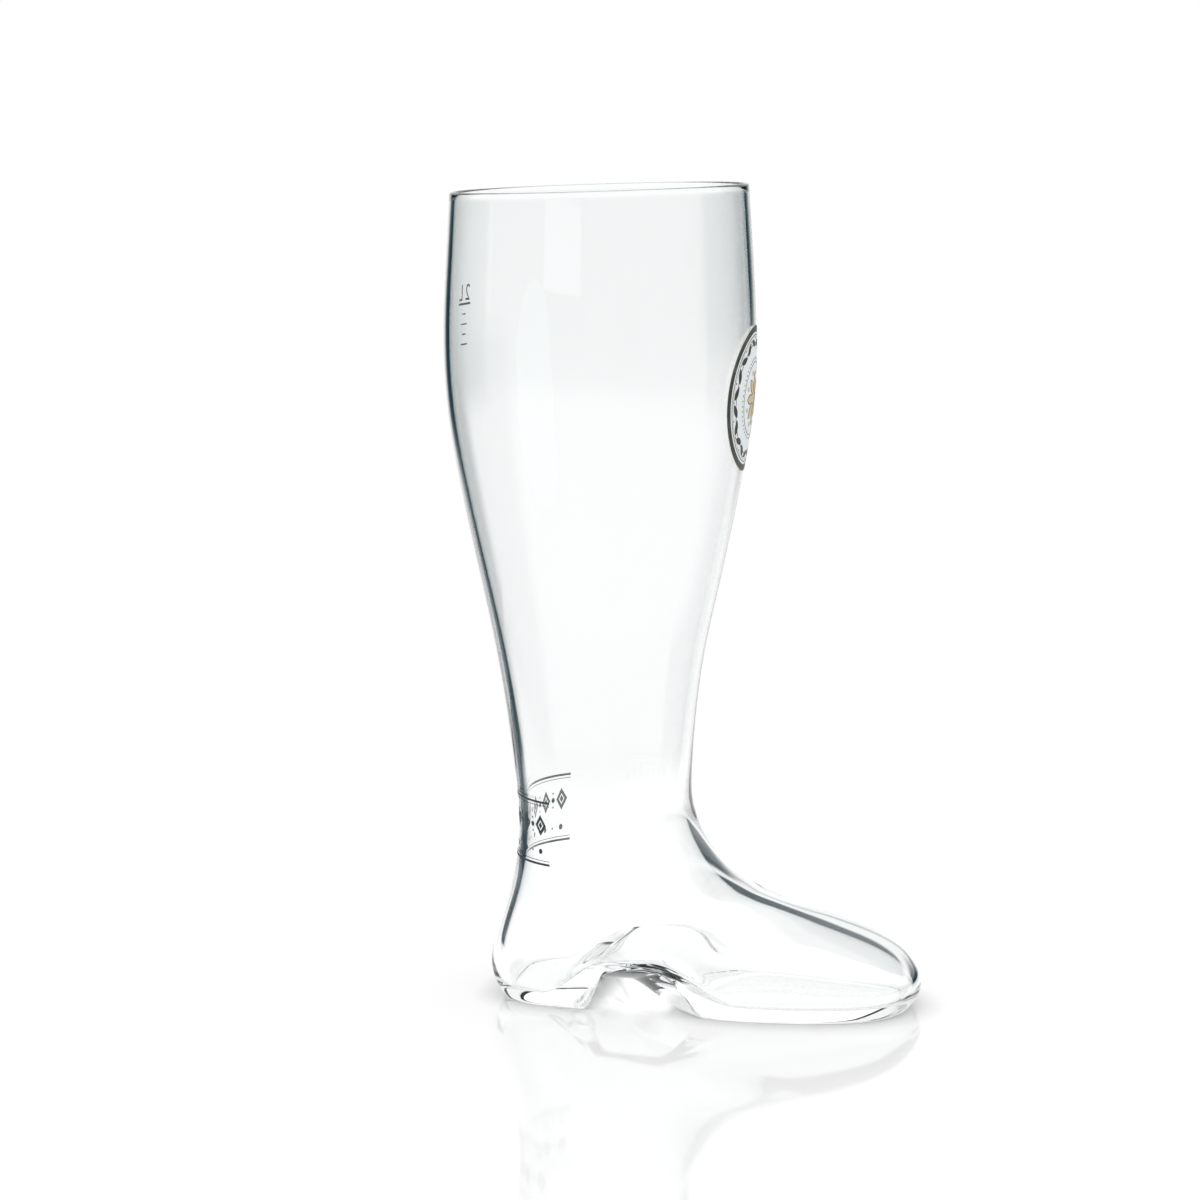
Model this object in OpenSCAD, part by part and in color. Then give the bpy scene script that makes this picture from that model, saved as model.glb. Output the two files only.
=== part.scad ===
// Boot-shaped beer glass of two litres, blown in one piece, with prints fired on its outside.
// Millimetres. +Z is up, +X points to the toe. The glass stands on z = 0, and its box is centred on the Z axis.

/* [Leg] */
// Height of the rim at the back of the leg
rim_h = 333; // [285:1:380]
// How much higher the rim stands at the front
rim_rise = 3.8; // [0:0.2:8]
// Outer diameter at the rim
rim_d = 122; // [104:0.5:132]
// How far the rim's middle stands back of the leg's axis
rim_lean = 0.3; // [0:0.1:2]
// Outer diameter of the calf, where the leg is widest
calf_d = 128.3; // [110:0.1:142]
// Height of the widest place
calf_h = 276.8; // [228:0.2:285]
// Outer diameter of the ankle, where the leg is narrowest
ankle_d = 72.4; // [60:0.2:85]
// Height of the ankle's section
ankle_h = 78.4; // [72:0.2:90]
// How far the ankle's middle stands forward of the leg's axis
ankle_lean = 2.6; // [0:0.1:5]
// How much higher the ankle's section is at the front
ankle_tilt = 6.6; // [0:0.2:10]

/* [Foot] */
// From the leg's axis to the tip of the toe
foot_reach = 135.8; // [114:0.2:156]
// From the leg's axis to the back of the heel
heel_reach = 44.4; // [40:0.2:49]
// Height of the heel's roundest place
heel_h = 14.8; // [11:0.2:19]
// Height of the instep over the heel's front
instep_h = 47.4; // [42:0.2:57]
// Height of the tip of the toe
toe_h = 9.6; // [7:0.2:13]
// Width of the heel
heel_w = 67.8; // [57:0.2:76]
// Width of the ball of the foot
ball_w = 78; // [66:0.2:87]
// How deep the soft underside is pressed flat
tread = 7.6; // [5:0.2:10]

/* [Arch] */
// Height of the arch over its middle
arch_h = 8; // [5:0.5:11]
// How much higher the arch is at its sides
arch_rise = 9; // [4:0.5:13]
// From the leg's axis back to the front edge of the heel
heel_front = 7.2; // [2:0.2:12]
// How far the heel's front edge sweeps forward at the sides
heel_sweep = 8; // [0:0.5:14]
// Length of the heel's front face
breast_l = 9; // [4:0.5:12]
// From the leg's axis to the back edge of the sole
sole_back = 31.8; // [26:0.2:38]
// Length over which the arch comes down to the sole
arch_ramp = 20; // [11:0.5:23]
// How far the sole's back edge sweeps forward at the sides
sole_sweep = 18; // [9:0.5:23]
// How much softer the arch meets the foot's sides than the tread does
arch_round = 6; // [0:0.5:8]

/* [Glass] */
// Wall at the rim
rim_wall = 2.1; // [1.6:0.1:3.2]
// Wall of the calf
leg_wall = 2.3; // [1.8:0.1:3.4]
// Wall of the ankle
ankle_wall = 3.8; // [2.6:0.1:5]
// Wall over the instep
instep_wall = 6.2; // [4:0.1:7.2]
// Wall of the sole and of the heel's underside
sole_wall = 5.2; // [4:0.1:7]
// Wall of the foot's sides
side_wall = 4.4; // [3:0.1:5.5]
// Wall at the tip of the toe
toe_wall = 3.4; // [2.6:0.1:4.6]
// Depth over which the edge of the pressed underside is rounded
foot_round = 1.2; // [0.4:0.1:2]
// Rounding between the floor inside the foot and its sides
floor_round = 5; // [1:0.5:8]
// How much softer the arch is inside the foot
floor_ease = 16; // [0:0.5:20]

/* [Badge] */
// Height of the badge's middle
badge_h = 251; // [228:1:265]
// Angle of the badge's middle from the toe's direction
badge_turn = 2; // [-10:1:10]
// Diameter of the pale ground
badge_d = 54; // [38:1:58]
// Width of the dark ring round the ground
ring_w = 2.6; // [1.5:0.1:4]
// Number of leaves in the wreath
leaf_count = 20; // [12:2:28]
// Length of a leaf
leaf_l = 6.6; // [5:0.2:9]
// Width of a leaf
leaf_w = 2.6; // [1.5:0.1:3.5]
// Number of petals of the gold flower
petal_count = 8; // [5:1:12]
// Length of a petal
petal_l = 8.6; // [6:0.2:11]
// Width of a petal
petal_w = 3.4; // [2:0.1:4.2]

/* [Fill mark] */
// From the rim's back down to the fill line
fill_drop = 46; // [34:1:64]
// Angle of the mark's middle from the toe's direction
fill_turn = 170; // [150:1:200]
// Length of the fill line
fill_l = 13; // [8:0.5:20]
// Height of the numeral
numeral_h = 7; // [5:0.5:9]
// Thickness of the printed strokes
stroke_w = 0.9; // [0.5:0.1:1.4]

/* [Ankle band] */
// Height of the band's lower line
band_h = 60; // [55:1:65]
// From the lower line to the upper one
band_w = 26; // [20:1:31]
// Angle of the band's middle from the toe's direction
band_turn = 186; // [170:1:200]
// Length of the band round the ankle
band_l = 76; // [50:1:86]
// Number of lozenges along the band
lozenge_count = 7; // [5:1:9]
// Width of a lozenge
lozenge_w = 6.6; // [4:0.2:8]

/* [Prints] */
// Room between the glass and a print
print_gap = 0.15; // [0.1:0.05:0.3]
// Thickness of a layer of print
print_t = 0.2; // [0.1:0.05:0.4]

/* [Hidden] */

// Points round a section, and rings per station of the tables below
round_n = 48;
leg_rings = 2;
heel_rings = 4;
toe_rings = 3;
lip_steps = 4;
// A small part of a station, for taking a line's direction
nudge_share = 0.01;

rim_r = rim_d / 2;
calf_r = calf_d / 2;
ankle_r = ankle_d / 2;
fill_h = rim_h - fill_drop;

// Leg above the calf: height from calf to rim, swell from rim to calf
upper_shares = [[0.55, 0.53]];

// Leg below the calf: height from ankle to calf, swell from ankle to calf, lean, tilt, front wall, back wall
leg_shares = [
    [1.000, 1.000, 0.00, 0.00, 0.00, 0.05],
    [0.852, 0.957, 0.10, 0.00, 0.00, 0.05],
    [0.719, 0.810, 0.11, 0.00, 0.00, 0.10],
    [0.585, 0.624, 0.16, 0.00, 0.00, 0.25],
    [0.451, 0.417, 0.18, 0.00, 0.05, 0.40],
    [0.318, 0.222, 0.14, 0.00, 0.12, 0.60],
    [0.184, 0.091, 0.36, 0.00, 0.25, 0.80],
    [0.082, 0.023, 0.66, 0.43, 0.50, 1.00],
    [0.000, 0.000, 1.00, 1.00, 1.00, 0.90]
];

// Foot: front or top line along and up, back or bottom line along and up, half width, top wall,
// bottom wall, squareness of the underside, lowness of the widest place.
// Along is a share of the foot's reach, or of the heel's where it is negative. Up is a share of the
// instep's height on the top line, and of the heel's height on the bottom line, or of the tread where
// it is negative.
heel_shares = [
    [0.320, 1.476, -0.779,  4.010, 1.061, 0.77, 0.66, 0.00, 0.02],
    [0.369, 1.268, -0.843,  2.920, 1.050, 0.89, 0.66, 0.02, 0.06],
    [0.420, 1.132, -0.940,  1.900, 1.034, 0.95, 0.69, 0.04, 0.12],
    [0.467, 1.056, -0.991,  1.000, 1.017, 0.98, 0.76, 0.06, 0.18],
    [0.501, 1.008, -0.890,  0.220, 1.006, 1.00, 0.91, 0.06, 0.22],
    [0.529, 0.976, -0.722, -0.550, 1.000, 1.00, 1.00, 0.06, 0.24],
    [0.557, 0.948, -0.535, -0.940, 1.000, 1.00, 1.00, 0.06, 0.24],
    [0.585, 0.920, -0.298, -1.000, 1.011, 1.00, 1.00, 0.06, 0.24]
];
ball_shares = [
    [0.613, 0.892, 0.007, -1.000, 0.893, 1.00, 1.00, 0.06, 0.24],
    [0.644, 0.862, 0.118, -1.000, 0.922, 1.00, 1.00, 0.06, 0.24],
    [0.679, 0.830, 0.237, -1.000, 0.966, 1.00, 1.00, 0.06, 0.25],
    [0.717, 0.796, 0.362, -1.000, 1.000, 0.98, 1.00, 0.07, 0.26],
    [0.762, 0.750, 0.491, -1.000, 0.995, 0.95, 1.00, 0.08, 0.28],
    [0.815, 0.696, 0.620, -1.000, 0.951, 0.92, 0.98, 0.08, 0.28],
    [0.869, 0.628, 0.745, -0.950, 0.869, 0.86, 0.95, 0.07, 0.26],
    [0.919, 0.538, 0.864, -0.725, 0.718, 0.77, 0.87, 0.05, 0.20],
    [0.965, 0.412, 0.954, -0.075, 0.461, 0.65, 0.76, 0.02, 0.10]
];

// A station: front point, back point, half width, front, back and side wall, squareness, lowness
function mix(a, b, t) = a + (b - a) * t;
function leg_station(r, z, rise, lean, wall) =
    [r + lean, z + rise / 2, lean - r, z - rise / 2, r, wall[0], wall[1], (wall[0] + wall[1]) / 2, 0, 0];
function upper_station(s) =
    leg_station(mix(rim_r, calf_r, s[1]), mix(calf_h, rim_h, s[0]), rim_rise * s[0] / 2, -rim_lean * s[0] / 2,
                [leg_wall, leg_wall]);
function lower_station(s) =
    leg_station(mix(ankle_r, calf_r, s[1]), mix(ankle_h, calf_h, s[0]), ankle_tilt * s[3], ankle_lean * s[2],
                [mix(leg_wall, ankle_wall, s[4]), mix(leg_wall, ankle_wall, s[5])]);
function foot_station(s, w) =
    [s[0] * foot_reach, s[1] * instep_h,
     s[2] * (s[2] < 0 ? heel_reach : foot_reach), s[3] * (s[3] < 0 ? tread : heel_h),
     s[4] * w / 2, s[5] * instep_wall, s[6] * sole_wall, (s[5] + s[6]) / 2 * side_wall, s[7], s[8]];

stations = concat(
    [leg_station(rim_r, rim_h + rim_rise / 2, rim_rise, -rim_lean, [rim_wall, rim_wall])],
    [for (s = upper_shares) upper_station(s)],
    [for (s = leg_shares) lower_station(s)],
    [for (s = heel_shares) foot_station(s, heel_w)],
    [for (s = ball_shares) foot_station(s, ball_w)],
    [[foot_reach, toe_h, foot_reach, toe_h, 0, toe_wall, toe_wall, toe_wall, 0, 0]]
);
last = len(stations) - 1;

// Beyond the tip the two lines change places, so the surface runs smoothly through it
function past_tip(s) = [s[2], s[3], s[0], s[1], -s[4], s[5], s[6], s[7], s[8], -s[9]];
padded = concat(
    [2 * stations[0] - stations[2], 2 * stations[0] - stations[1]],
    stations,
    [past_tip(stations[last - 1]), past_tip(stations[last - 2])]
);
// Control rows of a cubic spline, pulled outwards so that it meets the stations
pulled = [for (i = [1 : len(padded) - 2]) (8 * padded[i] - padded[i - 1] - padded[i + 1]) / 6];

// The station at any place u along the boot, from 0 at the rim to last at the tip of the toe
function blend(t) = [pow(1 - t, 3), 3 * pow(t, 3) - 6 * pow(t, 2) + 4,
                     3 * pow(1 - t, 3) - 6 * pow(1 - t, 2) + 4, pow(t, 3)] / 6;
function station(u) = let (i = min(floor(u), last - 1), b = blend(u - i))
    b[0] * pulled[i] + b[1] * pulled[i + 1] + b[2] * pulled[i + 2] + b[3] * pulled[i + 3];
function along(u) = station(min(u + nudge_share, last)) - station(max(u - nudge_share, 0));

// The form that the underside is pressed on: flat, with a ridge for the arch
function ease(a) = let (t = min(max(a, 0), 1)) t * t * (3 - 2 * t);
function form_height(x, y, soft) = let (side = pow(2 * y / heel_w, 2))
    (arch_h + arch_rise * side) * ease((x + heel_front + soft - heel_sweep * side) / (breast_l + soft))
    * ease((sole_back + soft + sole_sweep * side - x) / (arch_ramp + soft));
function pressed(d, r) = d <= -r ? 0 : d >= r ? d : pow(d + r, 2) / (4 * r);
function on_form(p, wall = 0, soft = 0, r = foot_round) =
    let (ridge = form_height(p[0], p[1], soft), g = wall + ridge)
    [p[0], p[1], g + pressed(p[2] - g, r + arch_round * min(ridge / arch_h, 1))];

// A point of a section at angle a: 90 is the front or top line, 270 the back or bottom line
function section_point(s, a) =
    let (square = s[8] * (1 - sin(a)) / 2,
         across = (cos(a) - square * cos(3 * a)) / (1 - square),
         h = (sin(a) + square * sin(3 * a)) / (1 - square) - s[9] * pow(cos(a), 2))
    [mix(s[2], s[0], (1 + h) / 2), s[4] * across, mix(s[3], s[1], (1 + h) / 2)];
function outer_point(u, a) = on_form(section_point(station(u), a));

// The inner station: both lines and the half width drawn in by the wall, square to the surface
function unit(v) = v / norm(v);
function inner_station(u) =
    let (s = station(u), d = along(u),
         front = unit([d[1], -d[0]]) * s[5],
         back = unit([-d[3], d[2]]) * s[6],
         step = norm([d[0] + d[2], d[1] + d[3]]) / 2,
         side = s[7] * step / norm([step, d[4]]))
    [s[0] + front[0], s[1] + front[1], s[2] + back[0], s[3] + back[1], s[4] - side, 0, 0, 0, s[8], s[9]];

function ring(s) = [for (j = [0 : round_n - 1]) section_point(s, j * 360 / round_n)];
function outer_ring(u) = [for (p = ring(station(u))) on_form(p)];
function inner_ring(u) = [for (p = ring(inner_station(u))) on_form(p, sole_wall, floor_ease, floor_round)];
function lip_ring(k) =
    let (a = 180 * k / lip_steps, outer = outer_ring(0), inner = inner_ring(0))
    [for (j = [0 : round_n - 1])
        mix(outer[j], inner[j], (1 - cos(a)) / 2) + [0, 0, sin(a) * rim_wall / 2]];

// Outer rings from the tip up to the rim, the rounded lip, and inner rings back down to the toe.
// The rings stand closest where the heel's front face lies.
leg_last = len(upper_shares) + len(leg_shares);
heel_mid = leg_last + 4;
heel_last = leg_last + len(heel_shares) + 3;
function places(leg_n, heel_n, toe_n) = concat(
    [for (k = [0 : heel_mid * leg_n - 1]) k / leg_n],
    [for (k = [heel_mid * heel_n : heel_last * heel_n - 1]) k / heel_n],
    [for (k = [heel_last * toe_n : last * toe_n - 1]) k / toe_n]
);
outer_places = places(leg_rings, heel_rings, toe_rings);
inner_places = places(1, 2, 2);
glass_rings = concat(
    [for (k = [len(outer_places) - 1 : -1 : 0]) outer_ring(outer_places[k])],
    [for (k = [1 : lip_steps - 1]) lip_ring(k)],
    [for (u = inner_places) inner_ring(u)]
);
outer_tip = section_point(station(last), 0);
inner_tip = section_point(inner_station(last), 0);

// From the leg's axis to the middle of the whole glass, which is placed on the Z axis
glass_xs = concat([outer_tip[0]], [for (r = glass_rings, p = r) p[0]]);
middle_x = (min(glass_xs) + max(glass_xs)) / 2;
function home(list) = [for (p = list) p - [middle_x, 0, 0]];

// A closed skin through rings of n points each, with a pole at both ends
module skin(rings, first_pole, last_pole, n) {
    m = len(rings);
    points = home(concat([first_pole, last_pole], [for (r = rings) each r]));
    function at(i, j) = 2 + i * n + j % n;
    faces = concat(
        [for (j = [0 : n - 1]) [0, at(0, j + 1), at(0, j)]],
        [for (i = [0 : m - 2], j = [0 : n - 1]) [at(i, j), at(i, j + 1), at(i + 1, j + 1), at(i + 1, j)]],
        [for (j = [0 : n - 1]) [1, at(m - 1, j), at(m - 1, j + 1)]]
    );
    polyhedron(points = points, faces = faces);
}

// The place along the leg at which the outer surface has height z at angle a, by halving the range
halvings = 16;
function place_of(a, z, low = 0, high = last / 2, left = halvings) =
    let (mid = (low + high) / 2)
    left == 0 ? mid
    : outer_point(mid, a)[2] > z ? place_of(a, z, mid, high, left - 1)
    : place_of(a, z, low, mid, left - 1);

// A point over the outer surface: turn is the angle from the toe's direction, lift the distance off the glass
function over_glass(turn, z, lift) =
    let (a = 90 - turn, p = outer_point(place_of(a, z), a))
    [p[0] + lift * cos(turn), p[1] + lift * sin(turn), p[2]];

// One layer of print: a strip along a path of [turn, height] places on the glass. Each place has its own
// half width, laid square to the path, and cells divide the strip across. r turns lengths into angles.
function path_side(path, k, r) =
    let (a = path[max(k - 1, 0)], b = path[min(k + 1, len(path) - 1)],
         d = unit([(b[0] - a[0]) * r * PI / 180, b[1] - a[1]]))
    [-d[1] * 180 / (PI * r), d[0]];
module ink(path, half_widths, r, layer = 0, cells = 1) {
    n = cells + 1;
    lift = print_gap + layer * (print_t + print_gap);
    grid = [for (k = [0 : len(path) - 1], j = [0 : cells])
        path[k] + path_side(path, k, r) * half_widths[k] * (2 * j / cells - 1)];
    count = len(grid);
    points = home(concat([for (g = grid) over_glass(g[0], g[1], lift)],
                         [for (g = grid) over_glass(g[0], g[1], lift + print_t)]));
    rows = len(path);
    border = concat(
        [for (j = [0 : cells - 1]) j],
        [for (k = [0 : rows - 2]) k * n + cells],
        [for (j = [cells : -1 : 1]) (rows - 1) * n + j],
        [for (k = [rows - 1 : -1 : 1]) k * n]
    );
    faces = concat(
        [for (k = [0 : rows - 2], j = [0 : cells - 1]) let (i = k * n + j) each
            [[i, i + 1, i + n], [i + 1, i + n + 1, i + n],
             [count + i, count + i + n, count + i + 1],
             [count + i + 1, count + i + n, count + i + n + 1]]],
        [for (k = [0 : len(border) - 1]) let (p = border[k], q = border[(k + 1) % len(border)]) each
            [[p, count + p, q], [q, count + p, count + q]]]
    );
    polyhedron(points = points, faces = faces);
}

// A stroke of even width, a leaf that swells in its middle, and a round spot
module stroke(path, w, r, layer = 0) {
    ink(path, [for (p = path) w / 2], r, layer);
}
swell_shares = [0.12, 0.72, 1, 0.8, 0.12];
module leaf(middle, angle, l, w, r, layer = 0) {
    n = len(swell_shares) - 1;
    path = [for (k = [0 : n]) middle
        + (k / n - 1 / 2) * l * [cos(angle) * 180 / (PI * r), sin(angle)]];
    ink(path, swell_shares * w / 2, r, layer);
}
round_shares = [-0.97, -0.72, -0.28, 0.28, 0.72, 0.97];
module spot(middle, d, r, layer = 0, steps = round_shares, cells = 1) {
    ink([for (s = steps) middle + [0, s * d / 2]], [for (s = steps) sqrt(1 - s * s) * d / 2], r, layer, cells);
}
function circle_path(middle, radius, r, steps) =
    [for (k = [0 : steps]) middle + radius * [cos(k * 360 / steps) * 180 / (PI * r), sin(k * 360 / steps)]];

module glass_boot() {
    color([0.86, 0.92, 0.92, 0.35]) skin(glass_rings, outer_tip, inner_tip, round_n);
}

// Pale ground of the badge on the front of the calf
badge_middle = [badge_turn, badge_h];
ground_cells = 12;
ground_shares = [for (k = [0 : ground_cells]) sin(80 * (2 * k / ground_cells - 1))];
module badge_ground() {
    color([0.88, 0.91, 0.91]) spot(badge_middle, badge_d, calf_r, 0, ground_shares, ground_cells);
}

// Dark ring round the ground, with a wreath of leaves inside it
ring_steps = 48;
wreath_r = badge_d / 2 - leaf_w * 1.6;
wreath_lean = 24;
module badge_wreath() {
    color([0.12, 0.20, 0.18]) {
        stroke(circle_path(badge_middle, (badge_d + ring_w) / 2 + print_t, calf_r, ring_steps), ring_w, calf_r);
        for (k = [0 : leaf_count - 1]) {
            angle = (k + 1 / 2) * 360 / leaf_count;
            middle = badge_middle + wreath_r * [cos(angle) * 180 / (PI * calf_r), sin(angle)];
            leaf(middle, angle + 90 + (k % 2 == 0 ? wreath_lean : -wreath_lean), leaf_l, leaf_w, calf_r, 1);
        }
    }
}

// Gold flower in the middle of the badge, with a bead between each two petals
bead_d = petal_w * 0.6;
module badge_flower() {
    color([0.80, 0.68, 0.40]) for (k = [0 : petal_count - 1]) {
        angle = k * 360 / petal_count;
        between = angle + 180 / petal_count;
        leaf(badge_middle + petal_l * 0.75 * [cos(angle) * 180 / (PI * calf_r), sin(angle)],
             angle, petal_l, petal_w, calf_r, 1);
        spot(badge_middle + petal_l * 1.3 * [cos(between) * 180 / (PI * calf_r), sin(between)],
             bead_d, calf_r, 1);
    }
}

// Fill line with the plain capacity over it and short graduations under it
fill_steps = 4;
tick_count = 4;
two_shares = [[-0.30, 0.74], [-0.24, 0.92], [0, 1], [0.24, 0.92], [0.30, 0.74], [0.22, 0.52],
              [-0.04, 0.26], [-0.30, 0.02], [0.02, 0], [0.32, 0]];
el_shares = [[-0.20, 1], [-0.20, 0.5], [-0.20, 0.01], [0.04, 0], [0.28, 0]];
function placed(shares, side, foot) =
    [for (s = shares) [fill_turn + (side + s[0] * numeral_h) * 180 / (PI * calf_r), foot + s[1] * numeral_h]];
module fill_mark() {
    foot = fill_h + 2 * stroke_w;
    color([0.20, 0.24, 0.25]) {
        stroke([for (k = [0 : fill_steps])
            [fill_turn + (k / fill_steps - 1 / 2) * fill_l * 180 / (PI * calf_r), fill_h]], stroke_w, calf_r);
        stroke(placed(two_shares, -numeral_h * 0.4, foot), stroke_w, calf_r);
        stroke(placed(el_shares, numeral_h * 0.45, foot), stroke_w, calf_r);
        for (k = [1 : tick_count]) {
            tick_l = fill_l * (k % 2 == 0 ? 0.5 : 0.3);
            stroke([for (i = [0, 1, 2])
                [fill_turn + (i / 2 - 1 / 2) * tick_l * 180 / (PI * calf_r), fill_h - k * numeral_h * 0.6]],
                stroke_w * 0.6, calf_r);
        }
    }
}

// Ornament round the back of the ankle: two lines, lozenges and a row of dots
band_steps = 16;
dot_d = stroke_w * 2.4;
module band_line(z, w) {
    stroke([for (k = [0 : band_steps])
        [band_turn + (k / band_steps - 1 / 2) * band_l * 180 / (PI * ankle_r), z]], w, ankle_r);
}
module ankle_band() {
    pitch = band_l / lozenge_count;
    color([0.17, 0.21, 0.23]) {
        for (z = [band_h, band_h + band_w]) band_line(z, stroke_w);
        for (k = [0 : lozenge_count - 1]) {
            turn = band_turn + (k - (lozenge_count - 1) / 2) * pitch * 180 / (PI * ankle_r);
            ink([for (s = [-0.48, 0, 0.48]) [turn, band_h + band_w * 0.62 + s * lozenge_w * 1.4]],
                [stroke_w / 4, lozenge_w / 2, stroke_w / 4], ankle_r, 0, 2);
            spot([turn, band_h + band_w * 0.2], dot_d, ankle_r);
            if (k > 0) spot([turn - pitch * 90 / (PI * ankle_r), band_h + band_w * 0.62], dot_d, ankle_r);
        }
    }
}

glass_boot();
badge_ground();
badge_wreath();
badge_flower();
fill_mark();
ankle_band();
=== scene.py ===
"""A boot-shaped beer glass of two litres: its glass, its prints, the stage and the camera."""
import math

import bpy
import numpy as np
from bpy.props import FloatProperty, FloatVectorProperty, IntProperty, PointerProperty
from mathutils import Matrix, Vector


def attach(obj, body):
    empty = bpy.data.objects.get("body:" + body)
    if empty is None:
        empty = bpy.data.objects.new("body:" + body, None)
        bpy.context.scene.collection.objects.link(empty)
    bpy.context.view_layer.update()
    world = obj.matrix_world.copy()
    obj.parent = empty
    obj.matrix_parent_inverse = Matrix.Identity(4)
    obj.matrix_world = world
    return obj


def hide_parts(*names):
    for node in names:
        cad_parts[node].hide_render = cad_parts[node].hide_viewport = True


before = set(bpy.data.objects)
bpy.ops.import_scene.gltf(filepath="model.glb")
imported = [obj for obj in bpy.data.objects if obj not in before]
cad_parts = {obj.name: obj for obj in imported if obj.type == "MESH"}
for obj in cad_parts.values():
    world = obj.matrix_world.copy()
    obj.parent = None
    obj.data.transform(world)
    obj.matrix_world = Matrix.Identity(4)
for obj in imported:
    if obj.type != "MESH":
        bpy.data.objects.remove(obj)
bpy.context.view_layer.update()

bl_info = {
    "name": "Boot Glass",
    "version": (1, 0, 0),
    "blender": (4, 5, 0),
    "location": "3D View > Sidebar > Boot Glass",
    "description": "Builds a boot-shaped beer glass with its prints, a stage and a camera",
    "category": "Add Mesh",
}

MM = 0.001

# Leg above the calf: height from calf to rim, swell from rim to calf
UPPER_SHARES = [[0.55, 0.53]]

# Leg below the calf: height from ankle to calf, swell from ankle to calf, lean, tilt, front wall,
# back wall
LEG_SHARES = [
    [1.000, 1.000, 0.00, 0.00, 0.00, 0.05],
    [0.852, 0.957, 0.10, 0.00, 0.00, 0.05],
    [0.719, 0.810, 0.11, 0.00, 0.00, 0.10],
    [0.585, 0.624, 0.16, 0.00, 0.00, 0.25],
    [0.451, 0.417, 0.18, 0.00, 0.05, 0.40],
    [0.318, 0.222, 0.14, 0.00, 0.12, 0.60],
    [0.184, 0.091, 0.36, 0.00, 0.25, 0.80],
    [0.082, 0.023, 0.66, 0.43, 0.50, 1.00],
    [0.000, 0.000, 1.00, 1.00, 1.00, 0.90],
]

# Foot: front or top line along and up, back or bottom line along and up, half width, top wall,
# bottom wall, squareness of the underside, lowness of the widest place. Along is a share of the
# foot's reach, or of the heel's where it is negative. Up is a share of the instep's height on the
# top line, and of the heel's height on the bottom line, or of the tread where it is negative.
HEEL_SHARES = [
    [0.320, 1.476, -0.779, 4.010, 1.061, 0.77, 0.66, 0.00, 0.02],
    [0.369, 1.268, -0.843, 2.920, 1.050, 0.89, 0.66, 0.02, 0.06],
    [0.420, 1.132, -0.940, 1.900, 1.034, 0.95, 0.69, 0.04, 0.12],
    [0.467, 1.056, -0.991, 1.000, 1.017, 0.98, 0.76, 0.06, 0.18],
    [0.501, 1.008, -0.890, 0.220, 1.006, 1.00, 0.91, 0.06, 0.22],
    [0.529, 0.976, -0.722, -0.550, 1.000, 1.00, 1.00, 0.06, 0.24],
    [0.557, 0.948, -0.535, -0.940, 1.000, 1.00, 1.00, 0.06, 0.24],
    [0.585, 0.920, -0.298, -1.000, 1.011, 1.00, 1.00, 0.06, 0.24],
]
BALL_SHARES = [
    [0.613, 0.892, 0.007, -1.000, 0.893, 1.00, 1.00, 0.06, 0.24],
    [0.644, 0.862, 0.118, -1.000, 0.922, 1.00, 1.00, 0.06, 0.24],
    [0.679, 0.830, 0.237, -1.000, 0.966, 1.00, 1.00, 0.06, 0.25],
    [0.717, 0.796, 0.362, -1.000, 1.000, 0.98, 1.00, 0.07, 0.26],
    [0.762, 0.750, 0.491, -1.000, 0.995, 0.95, 1.00, 0.08, 0.28],
    [0.815, 0.696, 0.620, -1.000, 0.951, 0.92, 0.98, 0.08, 0.28],
    [0.869, 0.628, 0.745, -0.950, 0.869, 0.86, 0.95, 0.07, 0.26],
    [0.919, 0.538, 0.864, -0.725, 0.718, 0.77, 0.87, 0.05, 0.20],
    [0.965, 0.412, 0.954, -0.075, 0.461, 0.65, 0.76, 0.02, 0.10],
]

# Net and prints: points nearer than the weld become one
SKIN_WELD = 1e-6
PATTERN_WELD = 1e-7
RING_SPOKES = 120
LAY_START = 1.5
LAY_REACH = 0.2
CAPACITY = "2 L"
FONT_PER_NUMERAL = 1.38

# Enamels: scale of the grain, and how much is rubbed
ENAMELS = {
    "Pale_Enamel": (700, 0.5),
    "Green_Enamel": (900, 0.25),
    "Gold_Enamel": (1100, 0.4),
    "Grey_Enamel": (1000, 0.5),
    "Slate_Enamel": (900, 0.35),
}

# Room: each window has its limits and the softness of its edges, in degrees round the room or as
# the upward part of the view's direction
SOFT_LIGHT = ((-178, -151, 1), (0.045, 0.088, 0.006))
LEFT_FLAG = ((-66, -39, 9), (-0.5, 0.03, 0.05))
LEFT_WING = ((-95, -39, 9), (-0.12, 0.03, 0.12))
RIGHT_FLAG = ((17, 80, 17), (-0.02, 0.2, 0.11))
LOW_WALL = (-0.12, 0.08, 0.12)
HIGH_WALL = (0.42, 0.75, 0.08)
WALL_GAP = (-100, -24, 4)
BACKDROP_SIDES = ((-22, 60, 4), (-60, -6, 24))
BACKDROP_HEIGHTS = (-0.6, 0.08, 0.05)
SOFT_LIGHT_LEVEL = 1.1
FLAG_DEPTH = 0.97
WALL_DEPTH = 0.95
GLASS_DIMNESS = 0.055
DARK_TINT = (0.030, 0.042)

# Floor: its painted dark flag, seen only in mirror images, in degrees round it, and the patch of
# painted light under the arch, in metres
FLOOR_RADIUS = 0.5
PAINTED_FLOOR_FLAG = (-66, -42, 10)
PAINTED_FLOOR_FLAG_DEPTHS = (0.95, 0.92, 0.908)
PAINTED_ARCH_LIGHT = ((-0.026, -0.006, 0.012), (-0.02, 0.02, 0.02))
# How far from the glass the floor's painted contact shade reaches
CONTACT_REACH = 0.012

SOFTBOX_PLACE = (-0.9, -1.3, 0.95)
SOFTBOX_AIM = (0, 0, 0.2)
SOFTBOX_SIZE = (0.35, 0.9)
SOFTBOX_POWER = 1.5

# The photograph's camera: 12.2 degrees to the toe's side, looking 8.6 degrees down
CAMERA_LENS = 103.92
CAMERA_SENSOR = 36
CAMERA_PLACE = (0.26413, -1.38640, 0.38060)
CAMERA_ANGLES = (81.4, 0, 12.2)


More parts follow.
